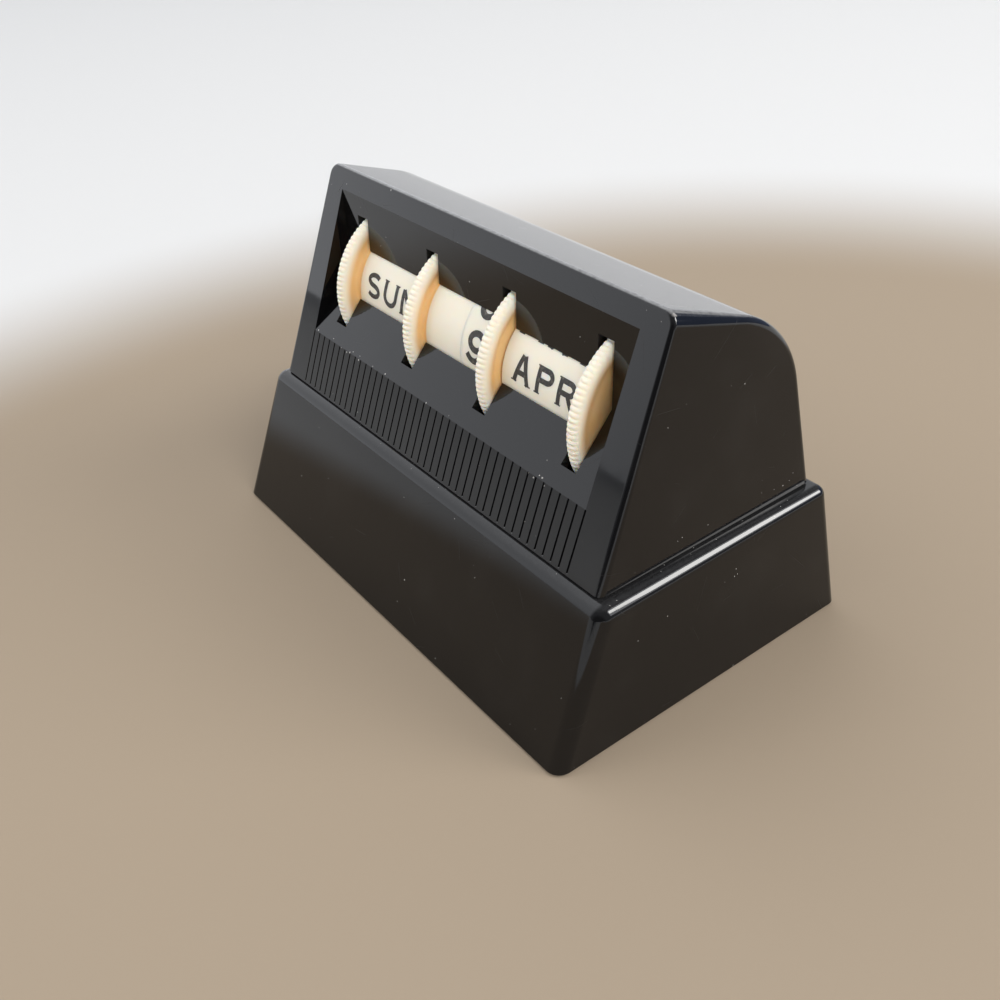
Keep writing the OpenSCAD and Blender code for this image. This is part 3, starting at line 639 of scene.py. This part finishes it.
def print_label(bm, text, x, angle, drum_r, font):
    """Lays a word on a drum: x is its middle, angle its middle from the display face's normal."""
    shapes, height = font
    start = x - (sum(shapes[c][0] for c in text) + LETTER_GAP * (len(text) - 1)) / 2
    for character in text:
        width, mesh = shapes[character]
        letter = bmesh.new()
        letter.from_mesh(mesh)
        for vert in letter.verts:
            up = angle + math.degrees((vert.co.y - height / 2) / drum_r)
            radius = drum_r + (INK_PROUD if vert.co.z > 0 else -INK_SUNK)
            vert.co = (start + vert.co.x, radius * (-cos(FACE_LEAN + up)), radius * sin(FACE_LEAN + up))
        placed = bpy.data.meshes.new("letter")
        letter.to_mesh(placed)
        letter.free()
        bm.from_mesh(placed)
        bpy.data.meshes.remove(placed)
        start += width + LETTER_GAP


def build_labels(name, node, labels, x, drum_r, font, origin_x):
    """All labels of one wheel: each a word and the angle of its middle."""
    bm = bmesh.new()
    for text, angle in labels:
        print_label(bm, text, x - origin_x, angle, drum_r, font)
    ink = add_object(name, bm)
    ink.location = (origin_x * MM, AXLE_Y * MM, AXLE_Z * MM)
    smooth(ink, SOFT_CREASE)
    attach(ink, node)
    return ink


def make_font(table, height, weight):
    """Width and mesh of every character, and the height they share."""
    shapes = {}
    for character, (width, strokes, feet) in table.items():
        shapes[character] = (width, glyph(strokes, feet, height, weight))
    return shapes, height


def around(words, middle, first_step):
    """Angles of the words round a drum; the steps on both sides of the first one may be wider."""
    rest = (360 - 2 * first_step) / (len(words) - 2)
    return [(word, middle + (first_step + rest * (i - 1) if i else 0)) for i, word in enumerate(words)]


WORD_ANGLE, DIGIT_ANGLE = -3.7, -6.1
APR_STEP, NINE_STEP = 36.3, 37
DAYS = ["SUN", "MON", "TUE", "WED", "THU", "FRI", "SAT"]
MONTHS = ["APR", "MAY", "JUN", "JUL", "AUG", "SEP", "OCT", "NOV", "DEC", "JAN", "FEB", "MAR"]
day_labels = around(DAYS, WORD_ANGLE, 360 / len(DAYS))
month_labels = around(MONTHS, WORD_ANGLE, APR_STEP)
tens_labels = [(digit, DIGIT_ANGLE + 90 * (i + 1)) for i, digit in enumerate("123")]
units_labels = around("9012345678", DIGIT_ANGLE, NINE_STEP)


# --- Materials ---
PER_MM = 1 / MM


class Finish:
    """A procedural material, built up node by node in object coordinates."""

    def __init__(self, name, color, roughness, **constants):
        self.material = bpy.data.materials.new(name)
        self.material.use_nodes = True
        self.tree = self.material.node_tree
        self.shader = self.tree.nodes["Principled BSDF"]
        self.shader.inputs["Base Color"].default_value = (*color, 1)
        self.shader.inputs["Roughness"].default_value = roughness
        for socket, value in constants.items():
            self.shader.inputs[socket.replace("_", " ")].default_value = value
        self.place = self.add("ShaderNodeTexCoord").outputs["Object"]

    def add(self, kind, settings=None, **inputs):
        node = self.tree.nodes.new(kind)
        for key, value in (settings or {}).items():
            setattr(node, key, value)
        for key, value in inputs.items():
            self.join(value, node.inputs[int(key[1:])] if key[0] == "_" else node.inputs[key])
        return node

    def join(self, value, socket):
        if isinstance(value, bpy.types.NodeSocket):
            self.tree.links.new(value, socket)
        else:
            socket.default_value = value

    def math(self, operation, a, b=0.0, clamp=False):
        return self.add("ShaderNodeMath", {"operation": operation, "use_clamp": clamp}, _0=a, _1=b).outputs[0]

    def vector_math(self, operation, a, b=(0, 0, 0)):
        """A vector operation; a length, a distance or a dot product comes out as a number."""
        node = self.add("ShaderNodeVectorMath", {"operation": operation}, _0=a, _1=b)
        return node.outputs["Value" if operation in ("LENGTH", "DISTANCE", "DOT_PRODUCT") else "Vector"]

    def axis(self, vector, index):
        return self.add("ShaderNodeSeparateXYZ", None, Vector=vector).outputs[index]

    def channel(self, color, index):
        return self.add("ShaderNodeSeparateColor", None, Color=color).outputs[index]

    def band(self, value, low, high, to_low=0.0, to_high=1.0, smooth_step=True):
        """Maps value from low..high to to_low..to_high, and holds it there outside."""
        curve = "SMOOTHSTEP" if smooth_step else "LINEAR"
        node = self.add("ShaderNodeMapRange", {"interpolation_type": curve},
                        _0=value, _1=low, _2=high, _3=to_low, _4=to_high)
        return node.outputs[0]

    def stretched(self, scale, turn=(0, 0, 0)):
        """Object coordinates turned and scaled, in units of one millimetre."""
        node = self.add("ShaderNodeMapping", None, Vector=self.place)
        node.inputs["Scale"].default_value = [PER_MM * s for s in scale]
        node.inputs["Rotation"].default_value = [math.radians(a) for a in turn]
        return node.outputs[0]

    def noise(self, size, detail=2.0, vector=None):
        """Noise whose patches are about size millimetres."""
        scale = PER_MM / size if vector is None else 1 / size
        node = self.add("ShaderNodeTexNoise", None, Vector=vector or self.place)
        node.inputs["Scale"].default_value = scale
        node.inputs["Detail"].default_value = detail
        return node.outputs["Fac"]

    def specks(self, cell, radius, share):
        """Small dots: size of the cells in millimetres, a dot's radius in cells, share of cells with one."""
        node = self.add("ShaderNodeTexVoronoi", None, Vector=self.place)
        node.inputs["Scale"].default_value = PER_MM / cell
        dots = self.math("LESS_THAN", node.outputs["Distance"], radius)
        pick = self.math("LESS_THAN", self.channel(node.outputs["Color"], 0), share)
        return self.math("MULTIPLY", dots, pick)

    def scratches(self, cell, width, reach, share, turn=0):
        """Short straight scratches: in some cells a thin plane through a point, faded with distance."""
        place = self.stretched((1 / cell, 1 / cell, 1 / cell), (turn, turn, 0))
        node = self.add("ShaderNodeTexVoronoi", None, Vector=place)
        node.inputs["Scale"].default_value = 1
        offset = self.vector_math("SUBTRACT", place, node.outputs["Position"])
        tilt = self.vector_math("SUBTRACT", node.outputs["Color"], (0.5, 0.5, 0.5))
        across = self.vector_math("DOT_PRODUCT", offset, self.vector_math("NORMALIZE", tilt))
        line = self.math("LESS_THAN", self.math("ABSOLUTE", across), width / cell)
        near = self.band(node.outputs["Distance"], reach * 0.4, reach, 1.0, 0.0)
        pick = self.math("LESS_THAN", self.channel(node.outputs["Color"], 1), share)
        return self.math("MULTIPLY", self.math("MULTIPLY", line, near), pick)

    def facing_up(self, low, high):
        """Rises from 0 to 1 where a surface looks up enough for dust to lie on it, and for the painted sheen
        of the pale film.
        """
        facing = self.add("ShaderNodeTexCoord").outputs["Normal"]
        return self.band(self.axis(facing, 2), low, high)

    def mix(self, factor, a, b):
        node = self.add("ShaderNodeMix", {"data_type": "RGBA"}, _0=factor, _6=a, _7=b)
        return node.outputs[2]

    def color(self, value):
        self.join(value, self.shader.inputs["Base Color"])

    def roughness(self, value):
        self.join(value, self.shader.inputs["Roughness"])

    def bump(self, height, distance_mm, strength):
        node = self.add("ShaderNodeBump", None, Height=height)
        node.inputs["Distance"].default_value = distance_mm * MM
        node.inputs["Strength"].default_value = strength
        self.join(node.outputs[0], self.shader.inputs["Normal"])

    def on(self, *objects):
        for obj in objects:
            obj.data.materials.clear()
            obj.data.materials.append(self.material)


BLACK = (0.0032, 0.0032, 0.0037)
DUST = (0.42, 0.41, 0.39, 1)
STYRENE_IOR = 1.45


def crest_dust(skin):
    """Specks caught on the edge between the ribbed panel and the recess."""
    up_face = skin.vector_math("DOT_PRODUCT", skin.place, (0, sin(FACE_LEAN), cos(FACE_LEAN)))
    level = (RECESS_S0 + FRONT_Y * sin(FACE_LEAN) + SEAM_Z * cos(FACE_LEAN)) * MM
    from_edge = skin.math("ABSOLUTE", skin.math("SUBTRACT", up_face, level))
    across = skin.math("ABSOLUTE", skin.axis(skin.place, 0))
    near = skin.math("MULTIPLY", skin.math("LESS_THAN", from_edge, 0.5 * MM),
                     skin.math("LESS_THAN", across, RECESS_W / 2 * MM))
    caught = skin.math("MULTIPLY", skin.specks(0.7, 0.2, 0.5), skin.band(skin.noise(8.0), 0.44, 0.52))
    return skin.math("MULTIPLY", caught, near)


def gloss_black(name, seed_turn, dust_and_sheen_film, crest=False, chips=()):
    """Glossy moulded polystyrene, handled for years: short scratches, smudges, dust and worn corners, and a
    pale film on faces that look up that is partly settled dust and partly a painted sheen.
    """
    skin = Finish(name, BLACK, 0.05, IOR=STYRENE_IOR)
    scratches = skin.math("MAXIMUM", skin.scratches(9.0, 0.022, 0.5, 0.5, seed_turn),
                          skin.scratches(5.0, 0.016, 0.5, 0.4, seed_turn + 40))
    dust = skin.math("MULTIPLY", skin.specks(0.9, 0.075, 0.14), skin.band(skin.noise(7.0), 0.47, 0.6))
    lint = skin.math("MULTIPLY", skin.specks(2.4, 0.05, 0.1), skin.band(skin.noise(11.0), 0.4, 0.5))
    dust = skin.math("MAXIMUM", dust, lint)
    lying = skin.math("MULTIPLY", skin.specks(0.6, 0.085, 0.3), skin.facing_up(0.84, 0.935))
    dust = skin.math("MAXIMUM", dust, lying)
    if crest:
        dust = skin.math("MAXIMUM", dust, crest_dust(skin))
    grime = skin.band(skin.noise(12.0, 4.0), 0.5, 0.72)
    base = skin.mix(skin.math("MULTIPLY", scratches, 0.09), (*BLACK, 1), (0.09, 0.088, 0.085, 1))
    base = skin.mix(skin.math("MULTIPLY", grime, 0.014), base, (0.2, 0.19, 0.18, 1))
    for x, y, z, size in chips:
        far = skin.vector_math("DISTANCE", skin.place, (x * MM, y * MM, z * MM))
        wobble = skin.math("SUBTRACT", skin.noise(0.5, 3.0), 0.5)
        ragged = skin.math("ADD", far, skin.math("MULTIPLY", wobble, size * MM))
        base = skin.mix(skin.band(ragged, size * 0.6 * MM, size * MM, 0.75, 0.0), base, (0.4, 0.38, 0.36, 1))
    # Pale film on faces that look up: partly settled dust, partly a painted sheen that stands in for glints
    # of the window on the top.
    dust_and_sheen = skin.math("MULTIPLY", skin.band(skin.noise(0.55, 4.0), 0.25, 0.75, 0.6, 1.3, False), dust_and_sheen_film)
    base = skin.mix(skin.math("MULTIPLY", skin.facing_up(0.72, 0.94), dust_and_sheen), base, (0.62, 0.62, 0.63, 1))
    skin.color(skin.mix(dust, base, DUST))
    haze = skin.band(skin.noise(5.0, 3.0), 0.35, 0.75, 0.035, 0.075)
    worn = skin.math("ADD", haze, skin.math("MULTIPLY", scratches, 0.3), True)
    skin.roughness(skin.math("ADD", worn, skin.math("MULTIPLY", dust, 0.5), True))
    skin.bump(skin.noise(6.0, 1.0), 0.006, 0.5)
    return skin


def ivory(name):
    """Aged ivory plastic that light sinks into: ochre in the dished sides of the rims as a painted warm
    bounce light, a few specks of grime.
    """
    skin = Finish(name, (0.87, 0.81, 0.68), 0.45, IOR=1.5, Specular_IOR_Level=0.3, Subsurface_Weight=0.85,
                  Subsurface_Radius=(0.8, 0.62, 0.42), Subsurface_Scale=1.1 * MM)
    radius = skin.vector_math("LENGTH", skin.vector_math("MULTIPLY", skin.place, (0, 1, 1)))
    across = skin.math("ABSOLUTE", skin.axis(skin.place, 0))
    in_rim = skin.band(across, (RIM_T / 2 + 0.2) * MM, (RIM_T / 2 + 0.5) * MM, 1.0, 0.0)
    dished = skin.band(radius, (RIM_R - 0.5) * MM, (RIM_R - 2.3) * MM)
    # The ochre in the dished sides of the rims is a painted warm bounce light in these shaded hollows.
    painted_warm_bounce = skin.math("MULTIPLY", in_rim, dished)
    cloud = skin.band(skin.noise(6.0, 3.0), 0.3, 0.7, 0.82, 1.0)
    base = skin.mix(skin.band(skin.noise(9.0, 3.0), 0.35, 0.7, 0.0, 0.4), (0.88, 0.83, 0.71, 1),
                    (0.87, 0.81, 0.67, 1))
    base = skin.mix(skin.math("MULTIPLY", painted_warm_bounce, cloud), base, (0.87, 0.56, 0.24, 1))
    specks = skin.specks(1.3, 0.05, 0.05)
    skin.color(skin.mix(skin.math("MULTIPLY", specks, 0.55), base, (0.25, 0.2, 0.15, 1)))
    skin.roughness(skin.band(skin.noise(2.5, 3.0), 0.3, 0.7, 0.4, 0.52))
    skin.bump(skin.noise(0.7, 2.0), 0.006, 0.4)
    return skin


def stamped(name):
    """Stamped black ink, thin in places."""
    skin = Finish(name, (0.03, 0.028, 0.026), 0.5)
    worn = skin.band(skin.noise(0.45, 3.0), 0.52, 0.75, 0.0, 0.55)
    skin.color(skin.mix(worn, (0.03, 0.028, 0.026, 1), (0.2, 0.18, 0.15, 1)))
    skin.roughness(skin.band(skin.noise(0.8), 0.3, 0.7, 0.42, 0.62))
    skin.bump(skin.noise(0.25, 2.0), 0.01, 0.5)
    return skin


def metal(name, color, roughness, grain):
    """Plated or rolled steel with a fine grain; grain gives its stretch along X, Y and Z."""
    skin = Finish(name, color, roughness, Metallic=1.0)
    lines = skin.noise(0.3, 3.0, skin.stretched(grain))
    skin.color(skin.mix(lines, (*[c * 0.8 for c in color], 1), (*[min(1, c * 1.15) for c in color], 1)))
    skin.roughness(skin.band(lines, 0.3, 0.7, roughness - 0.08, roughness + 0.1))
    skin.bump(lines, 0.008, 0.4)
    return skin


def matt(name, color, roughness, lighter, size=0.4):
    """Plain moulded, rubber or fibre surface with a fine texture."""
    skin = Finish(name, color, roughness)
    skin.color(skin.mix(skin.band(skin.noise(4.0, 3.0), 0.4, 0.75), (*color, 1), (*lighter, 1)))
    skin.roughness(skin.band(skin.noise(1.0), 0.3, 0.7, roughness - 0.08, roughness + 0.08))
    skin.bump(skin.noise(size, 3.0), 0.02, 0.5)
    return skin


# --- Build ---
housing = build_housing()
plinth = build_plinth()
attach(housing, "stand")
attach(plinth, "stand")

WHEELS = [("day_dial", "day_wheel", -OUTER_RIM_X, 1, WORD_DRUM_R, WORD_L, 1),
          ("tens_dial", "tens_wheel", -INNER_RIM_X, 1, DIGIT_DRUM_R, TENS_L, 0.5),
          ("units_dial", "units_wheel", INNER_RIM_X, -1, DIGIT_DRUM_R, UNITS_L, 0.5),
          ("month_dial", "month_wheel", OUTER_RIM_X, -1, WORD_DRUM_R, WORD_L, 1)]
wheels = [build_wheel(*row) for row in WHEELS]

DAY_X, MONTH_X, TENS_X, UNITS_X = -18.85, 19.35, -3.6, 4.6
capital_font = make_font(capitals(), CAP_H, CAP_STROKE)
digit_font = make_font(digits(), DIGIT_H, DIGIT_STROKE)
LABELS = [("day_names", "day_wheel", day_labels, DAY_X, WORD_DRUM_R, capital_font, -OUTER_RIM_X),
          ("tens_digits", "tens_wheel", tens_labels, TENS_X, DIGIT_DRUM_R, digit_font, -INNER_RIM_X),
          ("unit_digits", "units_wheel", units_labels, UNITS_X, DIGIT_DRUM_R, digit_font, INNER_RIM_X),
          ("month_names", "month_wheel", month_labels, MONTH_X, WORD_DRUM_R, capital_font, OUTER_RIM_X)]
inks = [build_labels(*row) for row in LABELS]

chip = (housing_half_w(BROW[1]) - 0.4, BROW[0] + 0.3, BROW[1] - 0.3, 0.6)
gloss_black("housing_black", 12, 0.27, True, [chip]).on(housing)
gloss_black("plinth_black", 71, 0.02).on(plinth)
ivory("aged_ivory").on(*wheels, nodes["left_spacer_tube"], nodes["right_spacer_tube"])
stamped("dial_print").on(*inks)
matt("inner_black", (0.03, 0.03, 0.033), 0.55, (0.045, 0.045, 0.048)).on(
    nodes["bottom_plate"], nodes["left_axle_bracket"], nodes["right_axle_bracket"])
matt("foot_rubber", (0.02, 0.02, 0.02), 0.8, (0.04, 0.038, 0.036), 0.25).on(nodes["rubber_feet"])
matt("vulcan_fibre", (0.32, 0.1, 0.06), 0.7, (0.42, 0.15, 0.09)).on(nodes["wheel_washers"])
metal("ground_steel", (0.6, 0.6, 0.62), 0.28, (0.1, 1.5, 1.5)).on(nodes["axle"])
metal("spring_strip", (0.5, 0.5, 0.52), 0.32, (0.2, 2.0, 2.0)).on(
    nodes["drag_spring"], nodes["left_retaining_ring"], nodes["right_retaining_ring"])
metal("zinc_plate", (0.62, 0.62, 0.6), 0.36, (1.0, 1.0, 1.0)).on(
    nodes["spring_screws"], nodes["bracket_screws"], nodes["housing_screws"], nodes["plate_screws"])


# --- Floor, light and camera ---
FLOOR_HALF = 4000
FLOOR_NEAR_TAN_SHADE, FLOOR_FAR = (0.31, 0.25, 0.185, 1), (0.62, 0.62, 0.615, 1)
# The tan part is a soft disc, the floor's own tan darkened as a painted shade round the object: where its
# middle lies and where its edge fades, in metres
TAN_AZ, TAN_OUT, TAN_EDGE = 75, 0.07, (0.17, 0.25)
WINDOW, WINDOW_WHITE = (0.637, 0.573, 0.515), (1, 0.98, 0.95)
LAMPS_AIM = Vector((0, 0, 0.03))
ROOM_GREY, ROOM_BRIGHT = (0.3, 0.31, 0.33, 1), (1.52, 1.56, 1.64, 1)
ROOM_BLUE, ROOM_DARK = (0.2, 0.27, 0.45, 1), (0.08, 0.08, 0.085, 1)

# The photo's view, found from the object's edges
CAMERA_AT = Vector((122.316, -84.649, 112.662)) * MM
CAMERA_AZ, CAMERA_EL, CAMERA_ROLL = 56.033, 34.969, -4.832
LENS, SENSOR = 39.76, 36.0


def heading(azimuth, elevation):
    """Direction towards the room: azimuth 0 is in front of the display, 90 on its right."""
    return (sin(azimuth) * cos(elevation), -cos(azimuth) * cos(elevation), sin(elevation))


def build_floor():
    """A plain pale floor, tan close to the object, where its tan is darkened as a painted shade."""
    bm = bmesh.new()
    bmesh.ops.create_grid(bm, x_segments=1, y_segments=1, size=FLOOR_HALF)
    floor = add_object("floor", bm)
    paper = Finish("pale_paper", FLOOR_NEAR_TAN_SHADE[:3], 0.85, Specular_IOR_Level=0.1)
    middle = [TAN_OUT * c for c in heading(TAN_AZ, 0)]
    far = paper.vector_math("DISTANCE", paper.place, middle)
    paper.color(paper.mix(paper.band(far, *TAN_EDGE), FLOOR_NEAR_TAN_SHADE, FLOOR_FAR))
    paper.on(floor)


def lamp(name, direction, distance, width, height, radiance, color, lights):
    """A soft box that faces the object and lights either "mirrors" or "matt" surfaces."""
    data = bpy.data.lights.new(name, "AREA")
    data.shape = "RECTANGLE"
    data.size, data.size_y = width, height
    data.energy = radiance * math.pi * width * height
    data.color = color
    light = bpy.data.objects.new(name, data)
    bpy.context.scene.collection.objects.link(light)
    aim = Vector(direction).normalized()
    light.location = LAMPS_AIM + aim * distance
    light.rotation_euler = aim.to_track_quat("Z", "Y").to_euler()
    light.visible_diffuse = lights == "matt"
    light.visible_glossy = lights == "mirrors"


class Room(Finish):
    """The room as a soft function of direction: bright on the left, dark where the viewer stands."""

    def __init__(self):
        world = bpy.data.worlds.new("studio")
        bpy.context.scene.world = world
        world.use_nodes = True
        self.tree = world.node_tree
        self.shader = self.tree.nodes["Background"]
        self.place = self.add("ShaderNodeTexCoord").outputs["Generated"]

    def towards(self, azimuth, elevation, low, high):
        """Rises from 0 to 1 as a direction comes near a heading."""
        closeness = self.vector_math("DOT_PRODUCT", self.place, heading(azimuth, elevation))
        return self.band(closeness, low, high)


build_floor()
room = Room()
sky = room.mix(room.towards(-88, 18, 0.35, 0.75), ROOM_GREY, ROOM_BRIGHT)
sky = room.mix(room.towards(163, 8, 0.8, 0.93), sky, ROOM_BLUE)
sky = room.mix(room.towards(34, -2, 0.62, 0.88), sky, ROOM_DARK)
room.join(sky, room.shader.inputs["Color"])
# Direction, distance, width and height in metres, radiance, colour and what it lights
lamp("window_glint", WINDOW, 1.1, 0.36, 0.4, 16.0, WINDOW_WHITE, "mirrors")
lamp("window_frame", WINDOW, 1.11, 0.6, 0.66, 3.0, (0.95, 0.97, 1), "mirrors")
lamp("window_light", WINDOW, 2.2, 1.28, 1.44, 6.0, WINDOW_WHITE, "matt")
lamp("key", heading(-20, 45), 2.0, 1.4, 1.4, 1.4, (1, 0.99, 0.97), "matt")
lamp("fill", heading(78, 36), 2.0, 1.6, 1.6, 4.0, WINDOW_WHITE, "matt")


def build_camera():
    """The photo's camera: where it stands, where it looks and how it is rolled."""
    back = Vector(heading(CAMERA_AZ, CAMERA_EL))
    right = Vector((0, 0, 1)).cross(back).normalized()
    up = back.cross(right)
    c, s = cos(CAMERA_ROLL), sin(CAMERA_ROLL)
    right, up = right * c + up * s, up * c - right * s
    data = bpy.data.cameras.new("photo_view")
    data.lens, data.sensor_width = LENS, SENSOR
    data.clip_start = 0.005
    camera = bpy.data.objects.new("photo_view", data)
    camera.matrix_world = Matrix.Translation(CAMERA_AT) @ Matrix((right, up, back)).transposed().to_4x4()
    bpy.context.scene.collection.objects.link(camera)
    bpy.context.scene.camera = camera


build_camera()
bpy.context.scene.view_settings.view_transform = "Standard"
